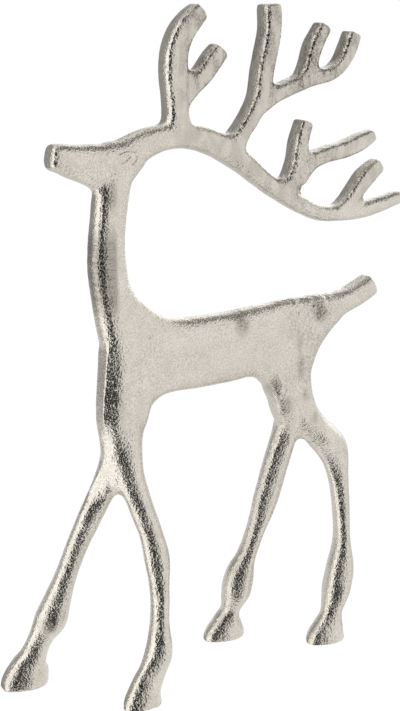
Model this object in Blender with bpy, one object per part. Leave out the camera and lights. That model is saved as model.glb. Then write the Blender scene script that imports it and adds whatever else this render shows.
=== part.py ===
"""Reindeer figurine: one solid metal casting that stands on four flared hooves.

The reindeer looks along -X, +Z is up, and the ground is at Z = 0 under the middle of its length.
Head, neck, trunk, tail and antler lie in the plane Y = 0, as in a two-part sand mould, and only
the legs leave it. Every limb is a rounded section carried along a smooth line. The limbs are
merged into one skin, and the corners between them are filled as with a rolling ball.
"""

import math

import bpy
import numpy as np

# Driving sizes, in metres.
HEIGHT = 0.450          # ground to the top of the tallest tine
HEAD_DEPTH = 0.0165     # side to side, at the cheeks
NECK_DEPTH = 0.0195
TRUNK_DEPTH = 0.0225
ANTLER_DEPTH = 0.0155
LEG_DEPTH = 0.0155
FRONT_STANCE = 0.066    # between the middles of the two front hooves, side to side
REAR_STANCE = 0.042
FILLET = 0.0022         # radius of the rolling ball that fills the corners between limbs
EYE_GROOVE = 0.0012     # width of the strokes cut round each eye
EYE_GROOVE_DEPTH = 0.0006

# Mesh finesse, in metres and counts.
VOXEL = 0.0018
RING_POINTS = 20
GROOVE_RING_POINTS = 8
STATION_STEP = 0.0035
TRIANGLES = 8600

# The pose and proportions are shares of the height, written in thousandths of it.
THOUSANDTH = HEIGHT / 1000
MIDDLE_X = 28           # middle of the length, from the foremost hoof to the last tine

METAL_COLOUR = (0.72, 0.70, 0.66, 1.0)
METAL_ROUGHNESS = 0.34

# Each station is (x, z, width, depth): the place of the section's middle, its width in the side
# view, and its side-to-side depth as a share of the limb's named depth.
HEAD = [
    (-230, 807, 33, 0.80), (-216, 803, 40, 0.86), (-198, 798, 47, 0.94), (-176, 793, 55, 1.00),
    (-152, 787, 65, 1.05), (-128, 792, 63, 1.05), (-108, 803, 48, 1.00),
]
NECK = [
    (-120, 804, 42, 0.86), (-133, 780, 51, 0.90), (-141, 750, 52, 0.92), (-147, 708, 50, 0.95),
    (-150, 664, 54, 0.98), (-146, 620, 57, 1.02), (-137, 570, 60, 1.06), (-127, 520, 61, 1.08),
    (-129, 470, 67, 1.08), (-133, 420, 68, 1.04), (-132, 388, 65, 0.98), (-131, 362, 42, 0.72),
]
BEAM = [
    (-120, 803, 44, 0.98), (-94, 813, 43, 1.00), (-66, 821, 37, 1.00), (-34, 823, 35, 1.00),
    (-4, 818, 36, 1.00), (30, 805, 38, 1.00), (66, 781, 34, 1.00), (102, 753, 28, 0.98),
    (136, 730, 28, 0.96), (170, 710, 26, 0.94), (204, 695, 24, 0.92), (240, 690, 23, 0.90),
    (280, 691, 25, 0.90), (318, 697, 25, 0.88), (358, 706, 20, 0.84),
]
BROW_TINE = [
    (-39, 822, 58, 1.00), (-39, 846, 37, 1.00), (-41, 876, 34, 1.00), (-43, 908, 37, 1.00),
    (-41, 938, 36, 1.00), (-31, 962, 35, 1.00), (-15, 980, 31, 0.96), (-3, 990, 27, 0.90),
]
BROW_FORK = [
    (-34, 872, 28, 0.94), (-16, 889, 26, 0.92), (2, 905, 28, 0.90), (16, 922, 29, 0.88),
    (29, 937, 27, 0.84),
]
MAIN_TINE = [
    (44, 792, 42, 1.00), (63, 819, 27, 1.00), (83, 846, 27, 1.00), (96, 873, 29, 1.00),
    (101, 904, 30, 1.00), (108, 934, 30, 1.00), (114, 964, 30, 1.00), (113, 995, 30, 0.96),
]
MAIN_FORK = [
    (92, 858, 30, 0.94), (120, 872, 24, 0.92), (150, 883, 23, 0.90), (184, 893, 22, 0.90),
    (214, 898, 21, 0.90), (235, 910, 21, 0.90), (249, 931, 25, 0.90), (258, 954, 24, 0.86),
]
MAIN_FORK_TINE = [
    (171, 890, 25, 0.90), (180, 912, 25, 0.90), (188, 938, 25, 0.90), (205, 966, 22, 0.84),
]
REAR_TINE = [
    (144, 730, 30, 0.96), (156, 755, 27, 0.94), (165, 780, 28, 0.92), (167, 803, 26, 0.92),
    (176, 830, 24, 0.88),
]
REAR_FORK = [
    (163, 754, 38, 0.92), (187, 772, 26, 0.90), (216, 781, 24, 0.88), (250, 787, 26, 0.88),
    (278, 796, 27, 0.86), (300, 805, 20, 0.80),
]
LAST_FORK = [
    (238, 692, 22, 0.90), (258, 705, 26, 0.90), (274, 724, 26, 0.90), (291, 742, 29, 0.88),
    (314, 759, 25, 0.82),
]
THIGH = [
    (150, 516, 80, 0.96), (152, 478, 88, 1.00), (153, 438, 76, 1.00), (159, 416, 66, 0.97),
    (167, 388, 60, 0.86), (167, 360, 40, 0.66),
]
TAIL = [
    (206, 547, 37, 0.84), (223, 547, 37, 0.82), (243, 547, 38, 0.78), (263, 552, 37, 0.76),
    (282, 559, 38, 0.74), (307, 571, 36, 0.72),
]
RIGHT_FRONT_LEG = [
    (-132, 436, 56, 1.28), (-133, 396, 52, 1.24), (-142, 356, 42, 1.12), (-154, 318, 39, 1.02),
    (-174, 272, 37, 0.96), (-194, 222, 32, 0.92), (-208, 178, 32, 0.98), (-220, 138, 41, 1.20),
    (-230, 104, 50, 1.32), (-245, 75, 38, 0.98), (-257, 42, 44, 1.12), (-264, 22, 66, 1.48),
    (-268, 9, 78, 1.72), (-267, 2, 69, 1.60), (-266, -6, 58, 1.34),
]
LEFT_FRONT_LEG = [
    (-127, 436, 56, 1.28), (-126, 392, 51, 1.22), (-125, 344, 43, 1.12), (-112, 290, 36, 1.04),
    (-100, 248, 35, 1.02), (-94, 206, 38, 1.06), (-95, 160, 28, 0.94), (-100, 114, 28, 0.94),
    (-106, 72, 40, 1.22), (-120, 44, 42, 1.04), (-133, 22, 47, 1.16), (-141, 9, 60, 1.30),
    (-141, 2, 55, 1.20), (-141, -6, 46, 1.02),
]
RIGHT_REAR_LEG = [
    (152, 456, 62, 1.42), (159, 414, 54, 1.36), (164, 380, 46, 1.26), (159, 346, 41, 1.14),
    (145, 290, 42, 1.06), (133, 236, 41, 1.00), (119, 186, 30, 0.94), (105, 142, 29, 0.98),
    (96, 112, 44, 1.28), (89, 78, 48, 1.34), (81, 46, 28, 0.88), (79, 34, 41, 1.00),
    (74, 22, 56, 1.18), (70, 10, 75, 1.38), (72, 2, 67, 1.26), (74, -6, 52, 1.00),
]
LEFT_REAR_LEG = [
    (162, 456, 62, 1.42), (171, 414, 53, 1.36), (185, 380, 48, 1.26), (206, 350, 48, 1.14),
    (238, 312, 51, 1.08), (247, 264, 34, 0.96), (250, 206, 26, 0.92), (249, 156, 26, 0.98),
    (245, 116, 44, 1.28), (233, 74, 43, 1.26), (224, 42, 34, 0.90), (221, 33, 41, 1.00),
    (217, 21, 54, 1.16), (208, 11, 73, 1.34), (211, 2, 61, 1.20), (212, -6, 50, 0.98),
]

# The trunk's stations are (x, top z, bottom z, depth), and its sections stand upright.
TRUNK = [
    (-120, 630, 374, 0.90), (-112, 612, 384, 0.92), (-104, 601, 394, 0.93), (-96, 594, 406, 0.94),
    (-90, 588, 430, 0.95), (-82, 581, 440, 0.96), (-67, 571, 449, 0.98), (-44, 562, 452, 1.00),
    (-10, 560, 451, 1.00), (44, 560, 452, 1.00), (78, 562, 454, 1.00), (96, 564, 450, 1.00),
    (110, 564, 437, 1.00), (121, 565, 424, 1.00), (129, 566, 396, 1.00), (138, 567, 372, 0.99),
    (160, 568, 360, 0.98), (180, 567, 382, 0.96), (189, 568, 432, 0.95), (198, 567, 464, 0.93),
    (210, 567, 486, 0.90), (222, 567, 500, 0.86), (236, 567, 514, 0.82), (250, 569, 527, 0.79),
]

# Squareness of the sections: 2 is an ellipse, and more is a plate with rounded edges.
PLATE_SECTION = 2.7
NECK_SECTION = 2.3
LEG_SECTION = 2.1
TIP_SECTION = 3.2       # the same for the blunt dome that closes a limb, seen from its side
TIP_REACH = 0.16        # height of that dome as a share of the limb's thickness
FRONT_SPLIT_Z = 400     # where the legs leave the plane of the body, in thousandths
REAR_SPLIT_Z = 420
HIP_BEND = 0.08         # how gradually they leave it, as a share of that height

# The strokes of each eye, as (x, z): the upper lid, the lower lid and the corner behind them.
EYE_STROKES = [
    [(-138, 805), (-125, 809), (-111, 807)],
    [(-133, 793), (-126, 796), (-120, 801)],
    [(-109, 801), (-111, 795), (-116, 790)],
]


def clear_scene():
    """Removes the objects that Blender starts with."""
    for old in list(bpy.data.objects):
        bpy.data.objects.remove(old)


def metal():
    """The figure's pale nickel-plated metal."""
    material = bpy.data.materials.new("nickel_plated_metal")
    material.use_nodes = True
    shader = material.node_tree.nodes["Principled BSDF"]
    shader.inputs["Base Color"].default_value = METAL_COLOUR
    shader.inputs["Metallic"].default_value = 1.0
    shader.inputs["Roughness"].default_value = METAL_ROUGHNESS
    return material


def in_plane(rows, depth):
    """Stations of a limb in the plane Y = 0, as rows of x, y, z, width, depth in metres."""
    rows = np.array(rows, float)
    x, z, width, share = rows.T
    return np.stack([
        (x - MIDDLE_X) * THOUSANDTH, np.zeros(len(rows)), z * THOUSANDTH,
        width * THOUSANDTH, share * depth,
    ], axis=1)


def upright(rows, depth):
    """Stations of a limb that is given by the height of its top and bottom lines."""
    x, top, bottom, share = np.array(rows, float).T
    return in_plane(np.stack([x, (top + bottom) / 2, top - bottom, share], axis=1), depth)


def splayed(rows, stance, split_z):
    """Stations of a leg that leaves the plane below split_z and reaches half the stance at the ground."""
    stations = in_plane(rows, LEG_DEPTH)
    drop = 1 - np.array(rows, float)[:, 1] / split_z
    bend = (drop + HIP_BEND) ** 2 / (4 * HIP_BEND)
    share = np.where(drop > HIP_BEND, drop, np.where(drop > -HIP_BEND, bend, 0))
    stations[:, 1] = stance / 2 * share
    return stations


def smooth_rows(stations, step):
    """A Catmull-Rom curve through all columns of the stations, with a row about every step."""
    points = np.vstack([2 * stations[0] - stations[1], stations, 2 * stations[-1] - stations[-2]])
    rows = []
    for a, b, c, d in zip(points, points[1:], points[2:], points[3:]):
        count = max(2, round(float(np.linalg.norm((c - b)[:3])) / step))
        t = np.arange(count)[:, None] / count
        rows.append(0.5 * (
            2 * b + (c - a) * t + (2 * a - 5 * b + 4 * c - d) * t**2
            + (3 * b - a - 3 * c + d) * t**3
        ))
    return np.vstack([*rows, stations[-1:]])


def with_rounded_ends(rows, squareness):
    """Adds short rows at both ends, where the section closes in a blunt dome."""
    def dome(end, inner):
        out = end[:3] - inner[:3]
        out = out / np.linalg.norm(out)
        reach = TIP_REACH * min(end[3], end[4])
        capped = []
        for u in (0.35, 0.62, 0.83, 0.96):
            shrink = (1 - u**squareness) ** (1 / squareness)
            capped.append([*(end[:3] + out * reach * u), end[3] * shrink, end[4] * shrink])
        return np.array(capped)
    return np.vstack([dome(rows[0], rows[1])[::-1], rows, dome(rows[-1], rows[-2])])


def limb(stations, section, across=None, ring_points=RING_POINTS):
    """Vertices and faces of a closed skin: a superellipse section carried along the stations.

    The sections stand square to the line of the limb, unless their direction across is given.
    """
    rows = with_rounded_ends(smooth_rows(stations, STATION_STEP), TIP_SECTION)
    centres = rows[:, :3]
    along = np.gradient(centres, axis=0)
    along /= np.linalg.norm(along, axis=1)[:, None]
    side = np.array([0.0, 1.0, 0.0]) - along * along[:, 1:2]
    side /= np.linalg.norm(side, axis=1)[:, None]
    if across is None:
        across = np.cross(side, along)
    else:
        across = np.broadcast_to(across, side.shape)
    angle = np.linspace(0, 2 * math.pi, ring_points, endpoint=False)
    cos, sin = np.cos(angle), np.sin(angle)
    power = 2 / section
    u = (np.sign(cos) * np.abs(cos) ** power)[None, :, None]
    v = (np.sign(sin) * np.abs(sin) ** power)[None, :, None]
    half_width, half_depth = rows[:, 3, None, None] / 2, rows[:, 4, None, None] / 2
    rings = centres[:, None] + u * half_width * across[:, None] + v * half_depth * side[:, None]
    count = len(rows)
    vertices = np.vstack([rings.reshape(-1, 3), centres[:1], centres[-1:]])
    first_pole, last_pole = count * ring_points, count * ring_points + 1
    faces = []
    for i in range(ring_points):
        j = (i + 1) % ring_points
        for k in range(count - 1):
            low, high = k * ring_points, (k + 1) * ring_points
            faces.append((low + i, low + j, high + j, high + i))
        last = (count - 1) * ring_points
        faces.append((first_pole, j, i))
        faces.append((last_pole, last + i, last + j))
    return vertices, faces


def limbs():
    """Every limb of the reindeer as (stations, section, direction across)."""
    plate = [
        (HEAD, HEAD_DEPTH), (THIGH, TRUNK_DEPTH), (TAIL, TRUNK_DEPTH),
        (BEAM, ANTLER_DEPTH), (BROW_TINE, ANTLER_DEPTH),
        (BROW_FORK, ANTLER_DEPTH), (MAIN_TINE, ANTLER_DEPTH), (MAIN_FORK, ANTLER_DEPTH),
        (MAIN_FORK_TINE, ANTLER_DEPTH), (REAR_TINE, ANTLER_DEPTH), (REAR_FORK, ANTLER_DEPTH),
        (LAST_FORK, ANTLER_DEPTH),
    ]
    for rows, depth in plate:
        yield in_plane(rows, depth), PLATE_SECTION, None
    yield in_plane(NECK, NECK_DEPTH), NECK_SECTION, None
    yield upright(TRUNK, TRUNK_DEPTH), PLATE_SECTION, (0.0, 0.0, 1.0)
    legs = [
        (RIGHT_FRONT_LEG, FRONT_STANCE, FRONT_SPLIT_Z), (LEFT_FRONT_LEG, -FRONT_STANCE, FRONT_SPLIT_Z),
        (RIGHT_REAR_LEG, REAR_STANCE, REAR_SPLIT_Z), (LEFT_REAR_LEG, -REAR_STANCE, REAR_SPLIT_Z),
    ]
    for rows, stance, split_z in legs:
        yield splayed(rows, stance, split_z), LEG_SECTION, None


def joined(name, skins):
    """One mesh object that holds several closed skins."""
    vertices, faces, start = [], [], 0
    for skin, skin_faces in skins:
        vertices.append(skin)
        faces += [tuple(start + i for i in face) for face in skin_faces]
        start += len(skin)
    mesh = bpy.data.meshes.new(name)
    mesh.from_pydata(np.vstack(vertices).tolist(), [], faces)
    mesh.update()
    result = bpy.data.objects.new(name, mesh)
    bpy.context.scene.collection.objects.link(result)
    return result


def remesh(figure, name):
    """Merges what overlaps into one even skin."""
    modifier = figure.modifiers.new(name, "REMESH")
    modifier.mode = "VOXEL"
    modifier.voxel_size = VOXEL
    modifier.use_smooth_shade = True


def offset(figure, name, distance):
    """Moves the skin along its normals."""
    modifier = figure.modifiers.new(name, "DISPLACE")
    modifier.direction = "NORMAL"
    modifier.mid_level = 0.0
    modifier.strength = distance


def fill_corners(figure):
    """Grows the skin, merges it and shrinks it back, which leaves a fillet in each inner corner."""
    remesh(figure, "merge_limbs")
    offset(figure, "grow", FILLET)
    remesh(figure, "merge_grown")
    offset(figure, "shrink_back", -FILLET)
    relax = figure.modifiers.new("relax", "SMOOTH")
    relax.factor = 0.5
    relax.iterations = 3


def reduce(figure):
    """Brings the skin down to the number of triangles that a solid may have."""
    graph = bpy.context.evaluated_depsgraph_get()
    evaluated = figure.evaluated_get(graph)
    mesh = evaluated.to_mesh()
    mesh.calc_loop_triangles()
    count = len(mesh.loop_triangles)
    evaluated.to_mesh_clear()
    modifier = figure.modifiers.new("reduce", "DECIMATE")
    modifier.ratio = min(1.0, TRIANGLES / count)
    modifier.use_collapse_triangulate = True


def box(low, high):
    """Vertices and faces of a closed box between two corners."""
    x, y, z = np.array([low, high]).T
    vertices = np.array([(a, b, c) for a in x for b in y for c in z])
    faces = [(0, 1, 3, 2), (4, 6, 7, 5), (0, 4, 5, 1), (2, 3, 7, 6), (0, 2, 6, 4), (1, 5, 7, 3)]
    return vertices, faces


def cut(figure, cutter):
    """Takes the cutter's form away from the figure."""
    cutter.hide_render = True
    cutter.display_type = "WIRE"
    modifier = figure.modifiers.new(cutter.name, "BOOLEAN")
    modifier.operation = "DIFFERENCE"
    modifier.solver = "EXACT"
    modifier.object = cutter


def eye_skins(figure):
    """Thin rods that lie along the strokes of both eyes, half sunk in the skin of the cheeks."""
    solid = figure.evaluated_get(bpy.context.evaluated_depsgraph_get())
    for side in (-1, 1):
        for stroke in EYE_STROKES:
            stations = []
            for x, z in stroke:
                outside = ((x - MIDDLE_X) * THOUSANDTH, side * HEAD_DEPTH, z * THOUSANDTH)
                _, place, _, _ = solid.ray_cast(outside, (0, -side, 0))
                stations.append((*place, EYE_GROOVE, 2 * EYE_GROOVE_DEPTH))
            yield limb(np.array(stations), 2, ring_points=GROOVE_RING_POINTS)


def main():
    """Builds the casting, cuts its eyes and grinds its soles flat at the ground."""
    clear_scene()
    figure = joined("reindeer", [limb(*parts) for parts in limbs()])
    figure.data.materials.append(metal())
    fill_corners(figure)
    reduce(figure)
    cut(figure, joined("eye_cutter", eye_skins(figure)))
    ground = box((-HEIGHT, -HEIGHT, -HEIGHT / 10), (HEIGHT, HEIGHT, 0))
    cut(figure, joined("ground_cutter", [ground]))


main()
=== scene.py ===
"""Dressed reindeer figurine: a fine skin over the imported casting, its nickel finish and the studio.

The reindeer looks along -X, +Z is up, and the ground is at Z = 0. All sizes are in metres, and the
pose is given in thousandths of the height, as (x, z) places in the plane of the body.
"""

import logging
import math
from collections.abc import Iterator, Mapping, Sequence
from dataclasses import dataclass, field
from enum import Enum

import bpy
import numpy as np
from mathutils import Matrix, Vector


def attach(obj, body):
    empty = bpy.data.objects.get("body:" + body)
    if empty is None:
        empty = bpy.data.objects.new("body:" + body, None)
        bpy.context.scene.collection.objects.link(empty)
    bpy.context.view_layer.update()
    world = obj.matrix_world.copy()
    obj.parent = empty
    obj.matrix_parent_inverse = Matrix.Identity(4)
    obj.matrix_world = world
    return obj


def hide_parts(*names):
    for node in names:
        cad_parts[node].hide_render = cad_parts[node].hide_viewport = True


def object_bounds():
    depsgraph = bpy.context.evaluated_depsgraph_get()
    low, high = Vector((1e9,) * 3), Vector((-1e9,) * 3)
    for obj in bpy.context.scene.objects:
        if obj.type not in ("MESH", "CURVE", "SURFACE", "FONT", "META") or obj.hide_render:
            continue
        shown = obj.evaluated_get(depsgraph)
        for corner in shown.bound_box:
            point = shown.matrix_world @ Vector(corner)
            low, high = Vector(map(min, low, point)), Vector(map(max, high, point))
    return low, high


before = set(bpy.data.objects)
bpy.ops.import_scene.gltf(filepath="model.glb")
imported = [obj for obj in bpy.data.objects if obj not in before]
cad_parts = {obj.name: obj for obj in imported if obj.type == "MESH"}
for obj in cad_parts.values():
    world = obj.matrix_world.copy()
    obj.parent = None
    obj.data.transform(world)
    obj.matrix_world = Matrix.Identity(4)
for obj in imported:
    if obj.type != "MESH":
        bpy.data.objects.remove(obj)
CAD_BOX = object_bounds()

log = logging.getLogger("reindeer")

HEIGHT = 0.450
THOUSANDTH = HEIGHT / 1000
MIDDLE_X = 28.0

# How a leg's line and sections ease from one form into the next.
SPLIT_BEND = 0.08       # share of split_z over which a leg bends out of the plane of the body
TURN_FADE = 0.03        # height over which its sections turn
LEVEL_FADE = 0.006      # height over which they come level above the ground
LEVEL_PULL = 5.0        # weight of straight down against the leg's own line there

Row = tuple[float, float, float, float]
Number = "Signal | float"


class Section(Enum):
    """Squareness of a limb's section: 2 is an ellipse, and more is a plate with rounded edges."""

    FLAT = 5.0
    TINE = 3.7
    PLATE = 2.7
    NECK = 2.5


class Stand(Enum):
    """How the sections of a limb stand: square to its line, or upright along the trunk."""

    SQUARE = "square"
    UPRIGHT = "upright"


@dataclass
class Skin:
    """A closed surface as vertices (n, 3) and faces of three or four vertex numbers."""

    vertices: np.ndarray
    faces: list[list[int]]


@dataclass(frozen=True)
class Limb:
    """A rounded section carried along a smooth line.

    Each row is (x, z, width, depth share). For an upright limb it is (x, top z, bottom z, share).
    A limb with a stance leaves the plane of the body below split_z. A turn, in degrees, carries the
    flats of the section round from the sides towards the front, from turn_z downwards. The dome is
    the height of the rounded ends as a share of the limb's thickness. Below level_z the sections
    turn level, so that a hoof stands square on the ground.
    """

    rows: tuple[Row, ...]
    depth: float
    section: Section = Section.PLATE
    stand: Stand = Stand.SQUARE
    stance: float = 0.0
    split_z: float = 0.0
    turn: float = 0.0
    turn_z: float = 1.0
    dome: float = 0.16
    level_z: float = 0.0

    def stations(self) -> np.ndarray:
        """Places and sizes along the limb in metres.

        Returns:
            Rows of x, y, z, width, depth.
        """
        x, a, b, share = np.array(self.rows, float).T
        if self.stand is Stand.UPRIGHT:
            z, width = (a + b) / 2, a - b
        else:
            z, width = a, b
        out = np.zeros(len(x))
        if self.stance:
            drop, bend = 1 - np.maximum(z, 0) / self.split_z, SPLIT_BEND
            eased = (drop + bend) ** 2 / (4 * bend)
            out = self.stance / 2 * np.where(drop > bend, drop, np.where(drop > -bend, eased, 0))
        return np.stack([
            (x - MIDDLE_X) * THOUSANDTH, out, z * THOUSANDTH,
            width * THOUSANDTH, share * self.depth,
        ], axis=1)

    def skin(self, step: float, ring_points: int) -> Skin:
        """Closed skin of the limb.

        A ring is centre + across * half width * cos(a)^(2/s) + side * half depth * sin(a)^(2/s),
        with the signs of cos and sin kept and the turn added before the widths. The rings follow a
        Catmull-Rom line through the stations. Both ends close in a low dome with a pole.

        Args:
            step: Distance between rings along the limb.
            ring_points: Points on each ring.

        Returns:
            The skin, faces outward.
        """
        rows = domed(smooth_rows(self.stations(), step), reach_share=self.dome)
        centres = rows[:, :3]
        along = unit(np.gradient(centres, axis=0))
        if self.level_z:
            levelled = np.clip((self.level_z - centres[:, 2:]) / LEVEL_FADE, 0, 1)
            along = unit(along - LEVEL_PULL * levelled * np.array([0.0, 0.0, 1.0]))
        side = unit(np.array([0.0, 1.0, 0.0]) - along * along[:, 1:2])
        across = np.cross(side, along)
        if self.stand is Stand.UPRIGHT:
            across = np.broadcast_to([0.0, 0.0, 1.0], side.shape)
        angle = np.linspace(0, 2 * math.pi, ring_points, endpoint=False)
        power = 2 / self.section.value
        square = np.stack([
            np.sign(np.cos(angle)) * np.abs(np.cos(angle)) ** power,
            np.sign(np.sin(angle)) * np.abs(np.sin(angle)) ** power,
        ])
        turned = np.clip((self.turn_z - centres[:, 2:]) / TURN_FADE, 0, 1)
        turned = math.radians(self.turn) * turned
        c, s = np.cos(turned), np.sin(turned)
        u = (c * square[0] - s * square[1])[..., None]
        v = (s * square[0] + c * square[1])[..., None]
        half_width, half_depth = rows[:, 3, None, None] / 2, rows[:, 4, None, None] / 2
        rings = centres[:, None] + u * half_width * across[:, None] + v * half_depth * side[:, None]
        count = len(rows)
        vertices = np.vstack([rings.reshape(-1, 3), centres[:1], centres[-1:]])
        ring = np.arange(ring_points)
        after = np.roll(ring, -1)
        level = np.arange(count - 1)[:, None] * ring_points
        quads = np.stack([
            level + ring, level + after, level + ring_points + after, level + ring_points + ring,
        ], axis=-1).reshape(-1, 4)
        pole = np.full(ring_points, count * ring_points)
        last = (count - 1) * ring_points
        first_fan = np.stack([pole, after, ring], axis=1)
        last_fan = np.stack([pole + 1, last + ring, last + after], axis=1)
        return Skin(vertices, quads.tolist() + first_fan.tolist() + last_fan.tolist())


def unit(vectors: np.ndarray) -> np.ndarray:
    """Rows of length one."""
    return vectors / np.linalg.norm(vectors, axis=1)[:, None]


def smooth_rows(stations: np.ndarray, step: float) -> np.ndarray:
    """A Catmull-Rom curve through all columns of the stations.

    Args:
        stations: Rows of x, y, z, width, depth.
        step: Distance between the rows of the result.

    Returns:
        The rows along the curve, both ends included.
    """
    points = np.vstack([2 * stations[0] - stations[1], stations, 2 * stations[-1] - stations[-2]])
    rows = []
    for a, b, c, d in zip(points, points[1:], points[2:], points[3:]):
        count = max(2, round(float(np.linalg.norm((c - b)[:3])) / step))
        t = np.arange(count)[:, None] / count
        rows.append(0.5 * (
            2 * b + (c - a) * t + (2 * a - 5 * b + 4 * c - d) * t**2
            + (3 * b - a - 3 * c + d) * t**3
        ))
    return np.vstack([*rows, stations[-1:]])


def domed(rows: np.ndarray, squareness: float = 3.2, reach_share: float = 0.16) -> np.ndarray:
    """Adds short rows at both ends, where the section closes in a blunt dome.

    At a share u of the dome's height the section shrinks to (1 - u^s)^(1/s).

    Args:
        rows: Rows of x, y, z, width, depth.
        squareness: The power s.
        reach_share: Height of the dome as a share of the limb's thickness.

    Returns:
        The rows with a dome before and after them.
    """
    def dome(end: np.ndarray, inner: np.ndarray) -> np.ndarray:
        """Rows of one dome, from its foot outwards."""
        out = (end - inner)[:3] / np.linalg.norm((end - inner)[:3])
        reach = reach_share * min(end[3], end[4])
        u = np.array([0.35, 0.62, 0.83, 0.96])[:, None]
        shrink = (1 - u**squareness) ** (1 / squareness)
        return np.hstack([end[:3] + out * reach * u, end[3:] * shrink])
    return np.vstack([dome(rows[0], rows[1])[::-1], rows, dome(rows[-1], rows[-2])])


def lattice_noise(points: np.ndarray, cell: float, seed: int) -> np.ndarray:
    """Smooth noise between -1 and 1.

    Every corner of a lattice of cubes has a random height, and a point takes the mean of its
    cube's eight corners, weighed by 6t^5 - 15t^4 + 10t^3 along each axis.

    Args:
        points: Places, (n, 3).
        cell: Side of a cube.
        seed: Chooses the random heights.

    Returns:
        One value for each place.
    """
    scaled = points / cell
    base = np.floor(scaled).astype(np.int64)
    t = scaled - base
    t = t**3 * (t * (t * 6 - 15) + 10)
    total = np.zeros(len(points))
    for corner in np.ndindex(2, 2, 2):
        key = (base + corner) @ np.array([73856093, 19349663, 83492791]) + seed * 6700417
        key = (key ^ (key >> 13)) * 1274126177 & 0x7FFFFFFF
        height = ((key ^ (key >> 16)) & 0xFFFF) / 32767.5 - 1
        weight = np.prod(np.where(corner, t, 1 - t), axis=1)
        total += height * weight
    return total


@dataclass(frozen=True)
class Antler:
    """The swept antler: a beam with its tines and forks."""

    depth: float = 0.0155
    beam: tuple[Row, ...] = (
        (-120, 803, 44, 0.98), (-94, 813, 43, 1.00), (-66, 821, 37, 1.00), (-34, 823, 35, 1.00),
        (-4, 818, 36, 1.00), (30, 805, 38, 1.00), (66, 781, 34, 1.00), (102, 753, 28, 0.98),
        (136, 730, 28, 0.96), (170, 710, 26, 0.94), (204, 695, 24, 0.92), (240, 690, 23, 0.90),
        (280, 691, 25, 0.90), (318, 697, 25, 0.88), (358, 706, 20, 0.84),
    )
    brow_tine: tuple[Row, ...] = (
        (-39, 822, 58, 1.00), (-39, 846, 37, 1.00), (-41, 876, 34, 1.00), (-43, 908, 37, 1.00),
        (-41, 938, 36, 1.00), (-31, 962, 35, 1.00), (-15, 980, 31, 0.96), (-3, 990, 27, 0.90),
    )
    brow_fork: tuple[Row, ...] = (
        (-34, 872, 28, 0.94), (-16, 889, 26, 0.92), (2, 905, 28, 0.90), (16, 922, 29, 0.88),
        (29, 937, 27, 0.84),
    )
    main_tine: tuple[Row, ...] = (
        (44, 792, 42, 1.00), (63, 819, 27, 1.00), (83, 846, 27, 1.00), (96, 873, 29, 1.00),
        (101, 904, 30, 1.00), (108, 934, 30, 1.00), (114, 964, 30, 1.00), (113, 995, 30, 0.96),
    )
    main_fork: tuple[Row, ...] = (
        (92, 858, 30, 0.94), (120, 872, 24, 0.92), (150, 883, 23, 0.90), (184, 893, 22, 0.90),
        (214, 898, 21, 0.90), (235, 910, 21, 0.90), (249, 931, 25, 0.90), (258, 954, 24, 0.86),
    )
    main_fork_tine: tuple[Row, ...] = (
        (171, 890, 25, 0.90), (180, 912, 25, 0.90), (188, 938, 25, 0.90), (205, 966, 22, 0.84),
    )
    rear_tine: tuple[Row, ...] = (
        (144, 730, 30, 0.96), (156, 755, 27, 0.94), (165, 780, 28, 0.92), (167, 803, 26, 0.92),
        (176, 830, 24, 0.88),
    )
    rear_fork: tuple[Row, ...] = (
        (163, 754, 38, 0.92), (187, 772, 26, 0.90), (216, 781, 24, 0.88), (250, 787, 26, 0.88),
        (278, 796, 27, 0.86), (300, 805, 20, 0.80),
    )
    last_fork: tuple[Row, ...] = (
        (238, 692, 22, 0.90), (258, 705, 26, 0.90), (274, 724, 26, 0.90), (291, 742, 29, 0.88),
        (314, 759, 25, 0.82),
    )

    def limbs(self) -> Iterator[Limb]:
        """The beam, then every tine and fork on it."""
        yield Limb(self.beam, self.depth, Section.NECK)
        for rows in (
            self.brow_tine, self.brow_fork, self.main_tine, self.main_fork,
            self.main_fork_tine, self.rear_tine, self.rear_fork, self.last_fork,
        ):
            yield Limb(rows, self.depth, Section.TINE)


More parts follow.
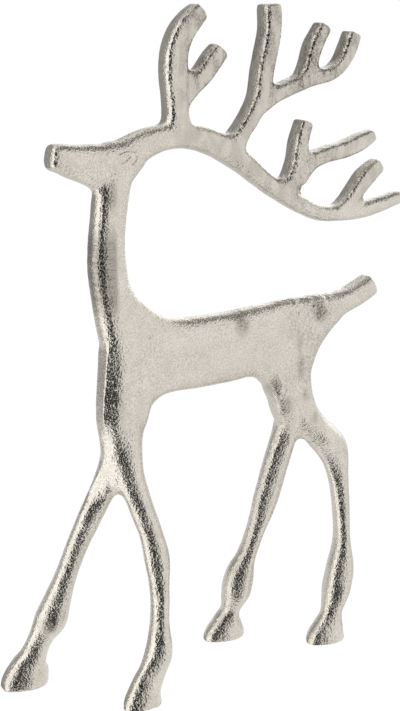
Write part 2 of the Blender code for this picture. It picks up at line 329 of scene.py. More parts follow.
@dataclass(frozen=True)
class Body:
    """Head, neck, trunk, thighs and tail, all in one plane."""

    head_depth: float = 0.0165
    neck_depth: float = 0.0195
    trunk_depth: float = 0.0225
    head: tuple[Row, ...] = (
        (-224, 805, 37, 1.00), (-213, 803, 41, 1.02), (-198, 798, 47, 1.02), (-176, 793, 55, 1.02),
        (-152, 787, 65, 1.05), (-128, 792, 63, 1.05), (-108, 803, 48, 1.00),
    )
    neck: tuple[Row, ...] = (
        (-120, 804, 42, 0.86), (-133, 780, 51, 0.90), (-141, 750, 52, 0.92), (-147, 708, 50, 0.95),
        (-150, 664, 54, 0.98), (-146, 620, 57, 1.02), (-137, 570, 60, 1.06), (-127, 520, 61, 1.08),
        (-129, 470, 67, 1.08), (-133, 420, 68, 1.04), (-132, 388, 65, 0.98), (-131, 362, 42, 0.72),
    )
    breast: tuple[Row, ...] = (
        (-146, 556, 22, 0.62), (-147, 530, 25, 0.80), (-149, 490, 27, 0.84), (-152, 450, 28, 0.84),
        (-153, 415, 27, 0.80), (-151, 385, 24, 0.70),
    )
    trunk: tuple[Row, ...] = (
        (-120, 630, 374, 0.90), (-112, 612, 384, 0.92), (-104, 601, 394, 0.93),
        (-96, 594, 406, 0.94),
        (-90, 588, 430, 0.95), (-82, 581, 440, 0.96), (-67, 571, 449, 0.98), (-44, 562, 452, 1.00),
        (-10, 560, 451, 1.00), (44, 560, 452, 1.00), (78, 562, 454, 1.00), (96, 564, 450, 1.00),
        (110, 564, 437, 1.00), (121, 565, 424, 1.00), (129, 566, 396, 1.00), (138, 567, 372, 0.99),
        (160, 568, 360, 0.98), (180, 567, 382, 0.96), (189, 568, 432, 0.95), (198, 567, 464, 0.93),
        (210, 567, 486, 0.90), (222, 567, 500, 0.86), (236, 567, 514, 0.82), (250, 569, 527, 0.79),
    )
    thigh: tuple[Row, ...] = (
        (150, 516, 80, 0.96), (152, 478, 88, 1.00), (153, 438, 76, 1.00), (159, 416, 66, 0.97),
        (167, 388, 60, 0.86), (167, 360, 40, 0.66),
    )
    tail: tuple[Row, ...] = (
        (206, 547, 37, 0.84), (223, 547, 37, 0.82), (243, 547, 38, 0.78), (263, 552, 37, 0.76),
        (282, 559, 38, 0.74), (307, 571, 36, 0.72),
    )

    def limbs(self) -> Iterator[Limb]:
        """The head first, the tail last."""
        yield Limb(self.head, self.head_depth, dome=0.28)
        yield Limb(self.neck, self.neck_depth, Section.NECK)
        yield Limb(self.breast, self.neck_depth, Section.FLAT)
        yield Limb(self.trunk, self.trunk_depth, stand=Stand.UPRIGHT)
        yield Limb(self.thigh, self.trunk_depth, Section.TINE)
        yield Limb(self.tail, self.trunk_depth)


@dataclass(frozen=True)
class Legs:
    """Four legs with knees, fetlocks and flared hooves."""

    depth: float = 0.0155
    turn: float = 25.0
    front_turn_z: float = 0.24
    rear_turn_z: float = 0.182
    level_z: float = 0.014
    front_stance: float = 0.066
    rear_stance: float = 0.042
    front_split_z: float = 400
    rear_split_z: float = 420
    right_front: tuple[Row, ...] = (
        (-132, 436, 56, 1.28), (-133, 396, 52, 1.24), (-142, 356, 42, 1.12), (-154, 318, 39, 1.02),
        (-174, 272, 37, 0.96), (-194, 222, 32, 0.92), (-208, 178, 32, 0.98), (-220, 138, 41, 1.20),
        (-230, 104, 50, 1.32), (-245, 75, 38, 0.98), (-257, 42, 44, 1.12), (-265, 22, 66, 1.44),
        (-267, 10, 73, 1.62), (-268, 3, 75, 1.64), (-268, -18, 75, 1.64),
    )
    left_front: tuple[Row, ...] = (
        (-127, 436, 56, 1.28), (-126, 392, 51, 1.22), (-125, 344, 43, 1.12), (-112, 290, 36, 1.04),
        (-100, 248, 35, 1.02), (-94, 206, 38, 1.06), (-95, 160, 28, 0.94), (-100, 114, 28, 0.94),
        (-106, 72, 40, 1.22), (-120, 44, 42, 1.04), (-135, 22, 50, 1.12), (-140, 10, 57, 1.22),
        (-141, 3, 60, 1.26), (-141, -18, 60, 1.26),
    )
    right_rear: tuple[Row, ...] = (
        (152, 456, 62, 1.42), (159, 414, 54, 1.36), (164, 380, 46, 1.26), (159, 346, 41, 1.14),
        (145, 290, 42, 1.06), (133, 236, 41, 1.00), (119, 186, 30, 0.94), (105, 142, 29, 0.98),
        (96, 112, 44, 1.24), (90, 82, 48, 1.42), (84, 62, 37, 1.20), (81, 46, 29, 0.94),
        (79, 34, 38, 1.06), (75, 22, 53, 1.20), (72, 10, 66, 1.36), (72, 3, 71, 1.42),
        (72, -18, 71, 1.42),
    )
    left_rear: tuple[Row, ...] = (
        (162, 456, 62, 1.42), (171, 414, 53, 1.36), (185, 380, 48, 1.26), (206, 350, 48, 1.14),
        (238, 312, 51, 1.08), (247, 264, 34, 0.96), (250, 206, 26, 0.92), (249, 156, 26, 0.98),
        (245, 116, 44, 1.24), (235, 80, 44, 1.38), (228, 58, 38, 1.16), (224, 44, 34, 0.96),
        (222, 33, 39, 1.02), (217, 22, 52, 1.16), (211, 11, 63, 1.28), (210, 3, 68, 1.34),
        (210, -18, 68, 1.34),
    )
    web: tuple[Row, ...] = (
        (-136, 425, 60, 0.90), (-138, 390, 54, 0.92), (-138, 356, 42, 0.92), (-136, 330, 34, 0.86),
        (-134, 318, 26, 0.72),
    )

    def limbs(self) -> Iterator[Limb]:
        """The web between the front legs, then the legs. The right side is +Y."""
        yield Limb(self.web, self.depth, Section.FLAT)
        front, rear = (self.front_split_z, self.front_turn_z), (self.rear_split_z, self.rear_turn_z)
        for rows, stance, (split_z, turn_z) in (
            (self.right_front, self.front_stance, front),
            (self.left_front, -self.front_stance, front),
            (self.right_rear, self.rear_stance, rear),
            (self.left_rear, -self.rear_stance, rear),
        ):
            yield Limb(
                rows, self.depth, stance=stance, split_z=split_z, turn=self.turn, turn_z=turn_z,
                level_z=self.level_z,
            )


class Signal:
    """One output socket of a node tree. Each operator adds the Math node that it stands for."""

    def __init__(self, tree: bpy.types.NodeTree, socket: bpy.types.NodeSocket) -> None:
        """Keeps the tree and the socket."""
        self.tree = tree
        self.socket = socket

    def math(self, operation: str, *others: Number) -> "Signal":
        """Adds a Math node with this signal first.

        Args:
            operation: The Math node's operation.
            others: Its second and third value, as signals or numbers.

        Returns:
            The node's result.
        """
        return Canvas(self.tree).math(operation, self, *others)

    def __add__(self, other: Number) -> "Signal":
        """Sum."""
        return self.math("ADD", other)

    __radd__ = __add__

    def __sub__(self, other: Number) -> "Signal":
        """Difference."""
        return self.math("SUBTRACT", other)

    def __rsub__(self, other: Number) -> "Signal":
        """Difference, with this signal taken away."""
        return Canvas(self.tree).math("SUBTRACT", other, self)

    def __mul__(self, other: Number) -> "Signal":
        """Product."""
        return self.math("MULTIPLY", other)

    __rmul__ = __mul__

    def __truediv__(self, other: Number) -> "Signal":
        """Quotient."""
        return self.math("DIVIDE", other)

    def clamped(self) -> "Signal":
        """The signal held between 0 and 1."""
        return self.math("MINIMUM", 1.0).math("MAXIMUM", 0.0)

    def step(self, low: float, high: float) -> "Signal":
        """A smooth step from 0 at low to 1 at high, or downwards where low is the larger."""
        canvas = Canvas(self.tree)
        if low > high:
            return 1 - self.step(high, low)
        node = canvas.node(
            "ShaderNodeMapRange", {"interpolation_type": "SMOOTHSTEP"},
            {"Value": self, "From Min": low, "From Max": high},
        )
        return canvas.out(node, "Result")


class Canvas:
    """Adds nodes to one tree."""

    def __init__(self, tree: bpy.types.NodeTree) -> None:
        """Keeps the tree."""
        self.tree = tree

    def node(
        self, kind: str, settings: Mapping[str, object] | None = None,
        inputs: Mapping[str | int, object] | None = None,
    ) -> bpy.types.Node:
        """Adds a node of any kind.

        Args:
            kind: The node's type.
            settings: Its own settings, set first.
            inputs: Values or signals for its input sockets, by name or number.

        Returns:
            The new node.
        """
        node = self.tree.nodes.new(kind)
        for name, value in (settings or {}).items():
            setattr(node, name, value)
        for key, value in (inputs or {}).items():
            if isinstance(value, Signal):
                self.tree.links.new(value.socket, node.inputs[key])
            else:
                node.inputs[key].default_value = value
        return node

    def out(self, node: bpy.types.Node, name: str | int = 0) -> Signal:
        """One output of a node as a signal."""
        return Signal(self.tree, node.outputs[name])

    def math(self, operation: str, *values: Number) -> Signal:
        """A Math node's result."""
        node = self.node("ShaderNodeMath", {"operation": operation}, dict(enumerate(values)))
        return self.out(node)

    def vector(self, operation: str, *values: object, output: str = "Vector") -> Signal:
        """A Vector Math node's result."""
        node = self.node("ShaderNodeVectorMath", {"operation": operation}, dict(enumerate(values)))
        return self.out(node, output)

    def parts(self, vector: Signal) -> tuple[Signal, Signal, Signal]:
        """The X, Y and Z of a vector."""
        node = self.node("ShaderNodeSeparateXYZ", inputs={0: vector})
        return self.out(node, 0), self.out(node, 1), self.out(node, 2)

    def blend(self, factor: Number, a: object, b: object) -> Signal:
        """Two colours mixed: a at factor 0, b at factor 1."""
        node = self.node("ShaderNodeMix", {"data_type": "RGBA"}, {0: factor, 6: a, 7: b})
        return self.out(node, 2)

    def noise(
        self, place: Signal, size: float, detail: float = 2.0, roughness: float = 0.5,
        stretch: Sequence[float] = (1.0, 1.0, 1.0),
    ) -> Signal:
        """Noise whose lumps are about size across.

        Args:
            place: Object coordinates.
            size: Size of the lumps in metres.
            detail: Octaves of finer noise on them.
            roughness: Strength of the finer octaves.
            stretch: How much longer the lumps are along each axis.

        Returns:
            The noise, from 0 to 1 and mostly near 0.5.
        """
        scaled = self.vector("MULTIPLY", place, [1 / (size * s) for s in stretch])
        node = self.node("ShaderNodeTexNoise", inputs={
            "Vector": scaled, "Scale": 1.0, "Detail": detail, "Roughness": roughness,
        })
        return self.out(node, 0)

    def cells(self, place: Signal, size: float) -> Signal:
        """Distance to the nearest of many scattered points, in cells of about size."""
        scaled = self.vector("MULTIPLY", place, [1 / size] * 3)
        node = self.node("ShaderNodeTexVoronoi", {"feature": "F1"}, {
            "Vector": scaled, "Scale": 1.0,
        })
        return self.out(node, "Distance")


@dataclass(frozen=True)
class Mark:
    """A dark patch that fades out from a place on the figure, in thousandths of the height. Most are
    dull stains; the one at the tail root is painted shade.
    """

    x: float
    z: float
    width: float
    height: float
    strength: float


@dataclass(frozen=True)
class CastNickel:
    """Thin satin nickel over a sand casting: warm, mottled, with a fine grain and file marks. Its
    colour also holds painted light: a dark reflection painted down the front of the neck and chest,
    pale speckles painted as glints among darker pits on the rump, and a shade gradient painted at the
    tail root.
    """

    pale: tuple[float, float, float, float] = (0.735, 0.695, 0.63, 1.0)
    dull: tuple[float, float, float, float] = (0.55, 0.51, 0.445, 1.0)
    # Dark colour of the stains, and of the painted shade, painted dark reflection and painted glints.
    stain_and_painted_shade: tuple[float, float, float, float] = (0.20, 0.18, 0.155, 1.0)
    roughness: float = 0.14
    grain: float = 0.0011
    grain_height: float = 0.00025
    pit: float = 0.0013
    pit_height: float = 0.0002
    hammer: float = 0.0045
    hammer_height: float = 0.0003
    rump_gain: float = 3.5
    cloud: float = 0.016
    tarnish: float = 0.006
    file_stroke: float = 0.0007
    file_depth: float = 0.0002
    eye_depth: float = 0.00025
    eye_strokes: tuple[tuple[tuple[float, float], ...], ...] = (
        ((-138, 805), (-125, 809), (-111, 807)),
        ((-133, 793), (-126, 796), (-120, 801)),
        ((-109, 801), (-111, 795), (-116, 790)),
    )
    eye_stroke_width: float = 0.0014
    eye_strength: float = 0.4
    # Dull stains, except Mark(200, 545): a painted shade gradient at the tail root, under the top of
    # the rump.
    stain_and_painted_shades: tuple[Mark, ...] = (
        Mark(60, 545, 16, 20, 0.9), Mark(200, 545, 17, 20, 1.1),
        Mark(162, 500, 9, 22, 0.4), Mark(165, 462, 8, 24, 0.55), Mark(121, 439, 10, 22, 0.5),
        Mark(142, 402, 12, 15, 0.5), Mark(175, 417, 8, 12, 0.5), Mark(193, 378, 6, 12, 0.5),
        Mark(-240, 105, 12, 17, 1.1), Mark(39, 22, 5, 6, 0.6), Mark(-151, 750, 13, 22, 0.8),
    )

    def material(self) -> bpy.types.Material:
        """The finish as a material.

        Returns:
            A material on Object coordinates.
        """
        material = bpy.data.materials.new("satin_cast_nickel")
        material.use_nodes = True
        tree = material.node_tree
        tree.nodes.clear()
        canvas = Canvas(tree)
        place = canvas.out(canvas.node("ShaderNodeTexCoord"), "Object")
        x, _, z = canvas.parts(place)
        grain = canvas.noise(place, self.grain, detail=2.0, roughness=0.6)
        lumps = canvas.noise(place, self.hammer, detail=1.5, roughness=0.5)
        clouds = canvas.noise(place, self.cloud, detail=3.0, roughness=0.55)
        # Stains, with the painted shade at the tail root.
        stain_and_painted_shade = self.stain_and_painted_shade_mask(x, z, 0.5 * clouds + 0.5 * lumps, grain)
        eye = self.eye_mask(x, z)
        filed_and_reflection_band = self.filed_and_reflection_band_mask(x, z)
        rump = x.step(0.035, 0.065) * x.step(0.100, 0.082) * z.step(0.17, 0.20)
        pits = canvas.cells(place, self.pit)
        tarnish = canvas.noise(
            place, self.tarnish, detail=2.0, roughness=0.5, stretch=(1, 1, 2.5),
        )
        strokes = canvas.noise(
            place, self.file_stroke, detail=2.0, roughness=0.6, stretch=(14, 14, 1),
        )
        mottle = (0.75 * grain + 0.25 * clouds).step(0.37, 0.63)
        colour = canvas.blend(mottle, self.dull, self.pale)
        # Painted dark reflection: the filed band down the front of the neck and chest is darkened by
        # 0.45 even between the file strokes, which darken it further.
        filing_and_painted_reflection = filed_and_reflection_band * (0.4 * strokes.step(0.35, 0.7) + 0.45)
        tarnish_and_painted_glints = (0.6 * tarnish.step(0.42, 0.60) + 0.25) * z.step(0.31, 0.33) * x.step(-0.045, -0.02)
        tarnish_and_painted_glints = tarnish_and_painted_glints * (0.45 + 0.4 * z.step(0.375, 0.40)) * grain.step(0.38, 0.56)
        # Painted glints on the rump: the colour darkens towards the edges of the pits' cells, so
        # their middles stay pale as speckles.
        tarnish_and_painted_glints = tarnish_and_painted_glints + 0.3 * rump * pits.step(0.42, 0.75)
        # Stains, eye strokes, file marks, tarnish, and the painted shade, reflection and glints all
        # pull the colour towards the dark one.
        marks = stain_and_painted_shade + self.eye_strength * eye + filing_and_painted_reflection + tarnish_and_painted_glints
        colour = canvas.blend(marks.clamped(), colour, self.stain_and_painted_shade)
        roughness = self.roughness + 0.10 * (clouds - 0.5) + 0.16 * (grain - 0.5) + 0.12 * stain_and_painted_shade
        height = (
            self.grain_height * (grain - 0.5) + self.pit_height * pits * pits
            + self.hammer_height * (1 + self.rump_gain * rump) * (lumps - 0.5)
            + self.file_depth * filed_and_reflection_band * (strokes - 0.5) - self.eye_depth * eye
        )
        bump = canvas.node("ShaderNodeBump", inputs={
            "Strength": 1.0, "Distance": 1.0, "Height": height,
        })
        shader = canvas.node("ShaderNodeBsdfPrincipled", inputs={
            "Base Color": colour, "Metallic": 1.0, "Roughness": roughness.clamped(),
            "Normal": canvas.out(bump),
        })
        canvas.node("ShaderNodeOutputMaterial", inputs={"Surface": canvas.out(shader)})
        return material

    def stain_and_painted_shade_mask(self, x: Signal, z: Signal, clouds: Signal, fine: Signal) -> Signal:
        """Dull stains and the painted shade at the tail root: ellipses with soft, cloudy edges, added
        up.
        """
        total: Number = 0.0
        for mark in self.stain_and_painted_shades:
            dx = (x - (mark.x - MIDDLE_X) * THOUSANDTH) / (mark.width * THOUSANDTH)
            dz = (z - mark.z * THOUSANDTH) / (mark.height * THOUSANDTH)
            distance = (dx * dx + dz * dz).math("SQRT") + 1.2 * (clouds - 0.5)
            total = distance.step(1.2, 0.2) * mark.strength + total
        return total * (fine.step(0.36, 0.62) * 0.9 + 0.15)

    def eye_mask(self, x: Signal, z: Signal) -> Signal:
        """The engraved strokes of the eyes: 1 on each line and 0 beyond its width."""
        nearest: Signal | None = None
        for stroke in self.eye_strokes:
            for start, end in zip(stroke, stroke[1:]):
                distance = self.segment_distance(x, z, start, end)
                nearest = distance if nearest is None else nearest.math("MINIMUM", distance)
        return nearest.step(self.eye_stroke_width / 2, 0.0)

    @staticmethod
    def segment_distance(
        x: Signal, z: Signal, start: tuple[float, float], end: tuple[float, float],
    ) -> Signal:
        """Distance from a place to a line between two points, seen from the side.

        Args:
            x: The place's X in metres.
            z: Its Z.
            start: One end as (x, z) in thousandths of the height.
            end: The other end.

        Returns:
            The distance in metres.
        """
        ax, az = (start[0] - MIDDLE_X) * THOUSANDTH, start[1] * THOUSANDTH
        bx, bz = (end[0] - MIDDLE_X) * THOUSANDTH - ax, end[1] * THOUSANDTH - az
        px, pz = x - ax, z - az
        share = ((px * bx + pz * bz) / (bx * bx + bz * bz)).clamped()
        dx, dz = px - share * bx, pz - share * bz
        return (dx * dx + dz * dz).math("SQRT")

    def filed_and_reflection_band_mask(self, x: Signal, z: Signal) -> Signal:
        """Where a file has run across the front of the neck and chest, which is also where a dark
        reflection is painted into the colour.
        """
        neck = x.step(-0.0755, -0.079) * z.step(0.255, 0.272) * z.step(0.322, 0.306)
        chest = x.step(-0.072, -0.078) * z.step(0.185, 0.195) * z.step(0.235, 0.222)
        return neck + 0.25 * chest


@dataclass(frozen=True)
class Relief:
    """Uneven hand-dressed surface: smooth noise in three sizes, moved along the normals."""

    cells: tuple[float, ...] = (0.016, 0.0075, 0.0038)
    heights: tuple[float, ...] = (0.00022, 0.00012, 0.00005)
    seed: int = 11

    def at(self, points: np.ndarray) -> np.ndarray:
        """Height of the relief at each place."""
        waves = [
            height * lattice_noise(points, cell, self.seed + number)
            for number, (cell, height) in enumerate(zip(self.cells, self.heights))
        ]
        return np.sum(waves, axis=0)


@dataclass(frozen=True)
class Facet:
    """A flat cut by a file. What stands out beyond its plane is pressed onto it.

    The plane goes through (x, y, z) and is turned from -X towards -Y by some degrees. The cut
    fades out over a short way at both ends of its height. All lengths are in metres.
    """

    place: tuple[float, float, float]
    turned: float
    lean: float
    low: float
    high: float
    fade: float = 0.012

    def press(self, points: np.ndarray) -> np.ndarray:
        """The points with the flat cut.

        Args:
            points: Places, (n, 3).

        Returns:
            Their new places.
        """
        turned = math.radians(self.turned)
        normal = np.array([-math.cos(turned), -math.sin(turned), self.lean * math.cos(turned)])
        normal /= np.linalg.norm(normal)
        beyond = np.maximum(0, (points - self.place) @ normal)
        z = points[:, 2]
        share = np.clip(np.minimum(z - self.low, self.high - z) / self.fade, 0, 1)
        share = share**2 * (3 - 2 * share)
        return points - (beyond * share)[:, None] * normal


@dataclass(frozen=True)
class Soft:
    """A round patch, seen from the side, where the surface is evened out by many small steps.

    In each step a point moves towards the mean of its neighbours. With depth_only it moves only
    across the plane of the body, so that the outline stays. The pull is how much of that way it
    goes at the middle of the patch, and the plateau is how steeply this fades at the patch's edge.
    """

    x: float
    z: float
    radius: float
    steps: int
    depth_only: bool = True
    pull: float = 0.6
    plateau: float = 1.6

    def even(self, points: np.ndarray, edges: np.ndarray) -> np.ndarray:
        """The points after all steps.

        Args:
            points: Places, (n, 3).
            edges: Vertex numbers of every edge, (m, 2).

        Returns:
            Their new places.
        """
        away = np.hypot(
            points[:, 0] / THOUSANDTH + MIDDLE_X - self.x, points[:, 2] / THOUSANDTH - self.z,
        ) / self.radius
        share = self.pull * np.clip(self.plateau * (1 - away), 0, 1)
        near = share[edges].max(axis=1) > 0
        a, b = edges[near].T
        count = len(points)
        degree = np.maximum(1, np.bincount(a, minlength=count) + np.bincount(b, minlength=count))
        result = points.copy()
        for _ in range(self.steps):
            for axis in (1,) if self.depth_only else (0, 1, 2):
                value = result[:, axis]
                total = np.bincount(a, value[b], count) + np.bincount(b, value[a], count)
                result[:, axis] = value + share * (total / degree - value)
        return result


@dataclass(frozen=True)
class Swell:
    """A low round bulge: the skin is pushed out by height * exp(-(distance / radius)^2)."""

    place: tuple[float, float, float]
    radius: float
    height: float

    def at(self, points: np.ndarray) -> np.ndarray:
        """Height of the bulge at each place."""
        distance = np.linalg.norm(points - self.place, axis=1) / self.radius
        return self.height * np.exp(-distance**2)


@dataclass(frozen=True)
class Casting:
    """The whole figure in one fine skin, with its corners filled and its soles ground flat."""

    antler: Antler = field(default_factory=Antler)
    body: Body = field(default_factory=Body)
    legs: Legs = field(default_factory=Legs)
    relief: Relief = field(default_factory=Relief)
    finish: CastNickel = field(default_factory=CastNickel)
    softs: tuple[Soft, ...] = (
        Soft(160, 420, 64, 70), Soft(205, 548, 46, 30), Soft(-86, 500, 44, 30),
        Soft(-144, 388, 44, 30, depth_only=False), Soft(205, 372, 34, 12, depth_only=False),
    )
    swells: tuple[Swell, ...] = (
        Swell((0.0866, -0.013, 0.1508), 0.008, 0.0012),
        Swell((-0.1175, 0.014, 0.0475), 0.007, 0.0010),
    )
    facets: tuple[Facet, ...] = (
        Facet((-0.0857, -0.0057, 0.2205), 61.0, 0.022, 0.178, 0.252, 0.016),
        Facet((-0.0800, -0.0075, 0.1650), 40.0, -0.05, 0.128, 0.196, 0.020),
    )
    voxel: float = 0.00142
    fillet: float = 0.0022
    station_step: float = 0.002
    ring_points: int = 32
    relax_factor: float = 0.5
    relax_steps: int = 5

    def build(self) -> bpy.types.Object:
        """The finished piece in its material, riding on the casting's body.

        Returns:
            The piece, which stands for the CAD node.
        """
        rough = self.joined()
        self.fill_corners(rough)
        graph = bpy.context.evaluated_depsgraph_get()
        mesh = bpy.data.meshes.new_from_object(rough.evaluated_get(graph))
        bpy.data.objects.remove(rough)
        self.dress(mesh)
        mesh.name = "reindeer_casting"
        piece = bpy.data.objects.new("reindeer_casting", mesh)
        bpy.context.scene.collection.objects.link(piece)
        piece.data.materials.clear()
        piece.data.materials.append(self.finish.material())
        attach(piece, "root")
        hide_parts("reindeer")
        return piece

    def joined(self) -> bpy.types.Object:
        """All limbs as closed skins in one mesh."""
        vertices, faces, start = [], [], 0
        for part in (self.body, self.antler, self.legs):
            for limb in part.limbs():
                skin = limb.skin(self.station_step, self.ring_points)
                vertices.append(skin.vertices)
                faces += [[start + i for i in face] for face in skin.faces]
                start += len(skin.vertices)
        mesh = bpy.data.meshes.new("limbs")
        mesh.from_pydata(np.vstack(vertices).tolist(), [], faces)
        mesh.update()
        result = bpy.data.objects.new("limbs", mesh)
        bpy.context.scene.collection.objects.link(result)
        return result

    def fill_corners(self, rough: bpy.types.Object) -> None:
        """Grows the skin, merges it and shrinks it back, which fills each inner corner."""
        for name, distance in (("grow", self.fillet), ("shrink_back", -self.fillet)):
            merge = rough.modifiers.new("merge_before_" + name, "REMESH")
            merge.mode = "VOXEL"
            merge.voxel_size = self.voxel
            merge.use_smooth_shade = True
            offset = rough.modifiers.new(name, "DISPLACE")
            offset.direction = "NORMAL"
            offset.mid_level = 0.0
            offset.strength = distance
        relax = rough.modifiers.new("relax", "SMOOTH")
        relax.factor = self.relax_factor
        relax.iterations = self.relax_steps

    def dress(self, mesh: bpy.types.Mesh) -> None:
        """Works the surface: cuts flats, evens patches, adds bulges and relief, grinds the soles.

        The skin stays inside the casting's box.
        """
        count = len(mesh.vertices)
        points, normals = np.empty(count * 3, np.float32), np.empty(count * 3, np.float32)
        edges = np.empty(len(mesh.edges) * 2, np.int32)
        mesh.vertices.foreach_get("co", points)
        mesh.vertices.foreach_get("normal", normals)
        mesh.edges.foreach_get("vertices", edges)
        points, normals = points.reshape(-1, 3).astype(float), normals.reshape(-1, 3)
        for facet in self.facets:
            points = facet.press(points)
        for soft in self.softs:
            points = soft.even(points, edges.reshape(-1, 2))
        height = self.relief.at(points) + sum(swell.at(points) for swell in self.swells)
        points = points + normals * height[:, None]
        low, high = np.array(CAD_BOX[0]), np.array(CAD_BOX[1])
        points = np.clip(points, low, high)
        mesh.vertices.foreach_set("co", points.astype(np.float32).ravel())
        mesh.update()


@dataclass(frozen=True)
class Glow:
    """A part of the surroundings that is brighter or darker than the rest.

    Azimuth is 0 towards the camera and grows to its right. Angles are in degrees.
    """

    azimuth: tuple[float, float]
    elevation: tuple[float, float]
    soft: float
    radiance: float


@dataclass(frozen=True)
class Studio:
    """White floor and sweep, soft surroundings and the camera at the photograph's angle."""

    azimuth: float = 30.2
    elevation: float = 16.3
    distance: float = 1.88 * HEIGHT
    target_z: float = 0.499 * HEIGHT
    focal_pixels: float = 1273.0
    image_height: float = 711.0
    sensor: float = 36.0
    floor_size: float = 6.0
    ambient: float = 1.01
    glows: tuple[Glow, ...] = (
        Glow((-80, -22), (-50, 70), 6, 1.5),
        Glow((-20, 24), (-45, 82), 6, 0.03),
        Glow((-168, -89), (-65, 46), 8, 0.40),
        Glow((40, 176), (46, 76), 8, 0.18),
        Glow((130, 186), (-5, 34), 8, 1.6),
    )
    table_near: float = -0.035
    table_far: float = 1.2
    table_side: float = 0.66
    table_drop: float = 0.0005
    sweep_share: float = 0.68
    floor_glow: float = 0.95
    floor_base: float = 0.08
    table_glow: float = 0.85
    sweep_glow: float = 1.0

    def build(self) -> None:
        """Makes the floor, the reflected table, the white dome, the surroundings and the camera."""
        self.floor()
        self.table()
        self.sweep()
        self.surroundings()
        self.camera()

    def toward_camera(self) -> Vector:
        """Level direction from the figure to the camera."""
        a = math.radians(self.azimuth)
        return Vector((-math.sin(a), -math.cos(a), 0.0))

    def to_right(self) -> Vector:
        """Level direction to the right of the camera's view."""
        front = self.toward_camera()
        return Vector((-front.y, front.x, 0.0))

    def camera(self) -> None:
        """A camera that looks at the middle of the figure from slightly above."""
        e = math.radians(self.elevation)
        back = self.toward_camera() * math.cos(e) + Vector((0.0, 0.0, math.sin(e)))
        data = bpy.data.cameras.new("camera")
        data.sensor_width = self.sensor
        data.lens = self.focal_pixels * self.sensor / self.image_height
        data.clip_start, data.clip_end = 0.01, 100.0
        camera = bpy.data.objects.new("camera", data)
        target = Vector((-MIDDLE_X * THOUSANDTH, 0.0, self.target_z))
        camera.location = target + back * self.distance
        camera.rotation_mode = "QUATERNION"
        camera.rotation_quaternion = (-back).to_track_quat("-Z", "Y")
        bpy.context.scene.collection.objects.link(camera)
        bpy.context.scene.camera = camera

    def white(self, name: str, glow: float, base: float) -> bpy.types.Material:
        """A matt white that also glows a little, so that it stays even."""
        material = bpy.data.materials.new(name)
        material.use_nodes = True
        shader = material.node_tree.nodes["Principled BSDF"]
        shader.inputs["Base Color"].default_value = (base, base, base, 1.0)
        shader.inputs["Roughness"].default_value = 0.9
        shader.inputs["Specular IOR Level"].default_value = 0.0
        shader.inputs["Emission Color"].default_value = (1.0, 1.0, 1.0, 1.0)
        shader.inputs["Emission Strength"].default_value = glow
        return material

    def plane(self, name: str, corners: np.ndarray, faces: list[list[int]]) -> bpy.types.Object:
        """A staged mesh that isn't part of the figure."""
        mesh = bpy.data.meshes.new(name)
        mesh.from_pydata(corners.tolist(), [], faces)
        mesh.update()
        result = bpy.data.objects.new(name, mesh)
        bpy.context.scene.collection.objects.link(result)
        return result

    def floor(self) -> None:
        """The floor, a wide square."""
        half = self.floor_size / 2
        corners = np.array([(-half, -half, 0), (half, -half, 0), (half, half, 0), (-half, half, 0)])
        floor = self.plane("floor", corners, [[0, 1, 2, 3]])
        floor.data.materials.append(self.white("pale_floor", self.floor_glow, self.floor_base))
        floor.visible_glossy = False

    def table(self) -> None:
        """The bright table top that only the metal reflects.

        Its near edge lies behind the middle of the figure, seen from the camera, so that the fronts
        of the hooves reflect the darker room.
        """
        near, side = self.toward_camera(), self.to_right()
        corners = np.array([
            near * a + side * b - Vector((0.0, 0.0, self.table_drop))
            for a, b in (
                (self.table_near, -self.table_side), (self.table_near, self.table_side),
                (-self.table_far, self.table_side), (-self.table_far, -self.table_side),
            )
        ])
        table = self.plane("table_reflection", corners, [[0, 1, 2, 3]])
        table.data.materials.append(self.white("table_glow", self.table_glow, 0.0))
        table.visible_camera = False
        table.visible_diffuse = False
        table.visible_shadow = False

    def sweep(self) -> None:
        """A white dome round the set, that closes the view above the floor.

        A point is radius * (cos a cos b, sin a cos b, sin b), with a round the set and b up it.
        """
        a = np.linspace(0, 2 * math.pi, 48, endpoint=False)
        b = np.linspace(-0.2, math.pi / 2 - 0.02, 16)[:, None]
        ring = np.stack([np.cos(a) * np.cos(b), np.sin(a) * np.cos(b), np.sin(b) + 0 * a], axis=-1)
        count = len(a)
        vertices = np.vstack([ring.reshape(-1, 3), [[0.0, 0.0, 1.0]]])
        vertices = vertices * self.floor_size * self.sweep_share
        i, j = np.arange(count), np.roll(np.arange(count), -1)
        level = np.arange(len(b) - 1)[:, None] * count
        quads = np.stack([level + j, level + i, level + count + i, level + count + j], axis=-1)
        top = (len(b) - 1) * count
        fan = np.stack([top + j, top + i, np.full(count, len(vertices) - 1)], axis=1)
        sweep = self.plane("sweep", vertices, quads.reshape(-1, 4).tolist() + fan.tolist())
        sweep.data.materials.append(self.white("white_sweep", self.sweep_glow, 0.0))
        sweep.visible_glossy = False
        sweep.visible_diffuse = False
        sweep.visible_shadow = False

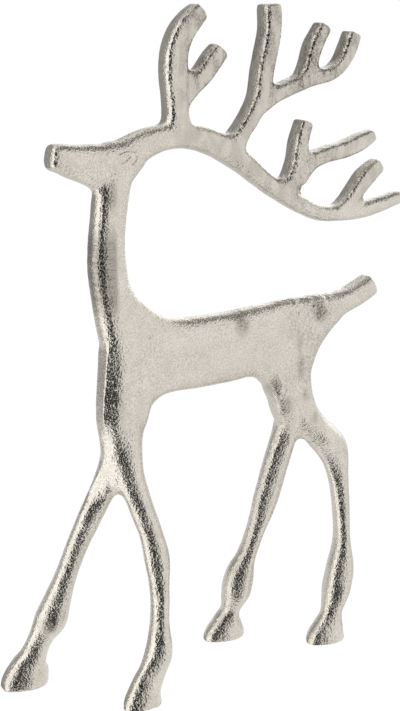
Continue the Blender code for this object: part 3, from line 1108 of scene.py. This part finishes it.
    def surroundings(self) -> None:
        """Soft light and dark in the directions that the metal reflects.

        A direction's azimuth is atan2 of its parts to the right and towards the camera, and its
        elevation is asin of its height. Each glow is a product of four smooth steps.
        """
        world = bpy.data.worlds.new("studio")
        world.use_nodes = True
        bpy.context.scene.world = world
        tree = world.node_tree
        tree.nodes.clear()
        canvas = Canvas(tree)
        direction = canvas.out(canvas.node("ShaderNodeTexCoord"), "Generated")
        ahead = canvas.vector("DOT_PRODUCT", direction, tuple(self.toward_camera()), output="Value")
        aside = canvas.vector("DOT_PRODUCT", direction, tuple(self.to_right()), output="Value")
        _, _, up = canvas.parts(direction)
        azimuth = aside.math("ARCTAN2", ahead) * (180 / math.pi)
        elevation = up.math("ARCSINE") * (180 / math.pi)
        radiance: Number = self.ambient
        for glow in self.glows:
            mask = self.window(azimuth, glow.azimuth, glow.soft)
            mask = mask * self.window(elevation, glow.elevation, glow.soft)
            radiance = mask * (glow.radiance - radiance) + radiance
        background = canvas.node("ShaderNodeBackground", inputs={
            "Color": (1.0, 1.0, 1.0, 1.0), "Strength": radiance,
        })
        canvas.node("ShaderNodeOutputWorld", inputs={"Surface": canvas.out(background)})

    @staticmethod
    def window(value: Signal, span: tuple[float, float], soft: float) -> Signal:
        """1 inside a span of angles and 0 outside it, with soft ends."""
        low, high = span
        half = soft / 2
        return value.step(low - half, low + half) * value.step(high + half, high - half)


def main() -> None:
    """Builds the studio and the figure."""
    logging.basicConfig(level=logging.INFO, format="%(name)s: %(message)s")
    scene = bpy.context.scene
    scene.view_settings.view_transform = "Standard"
    for name in ("Cube", "Light", "Camera"):
        if name in bpy.data.objects:
            bpy.data.objects.remove(bpy.data.objects[name])
    Studio().build()
    log.info("studio ready")
    piece = Casting().build()
    log.info(
        "casting: %d vertices, %d triangles",
        len(piece.data.vertices), triangle_count(piece.data),
    )


def triangle_count(mesh: bpy.types.Mesh) -> int:
    """Number of triangles in a mesh."""
    mesh.calc_loop_triangles()
    return len(mesh.loop_triangles)


if __name__ == "__main__":
    main()
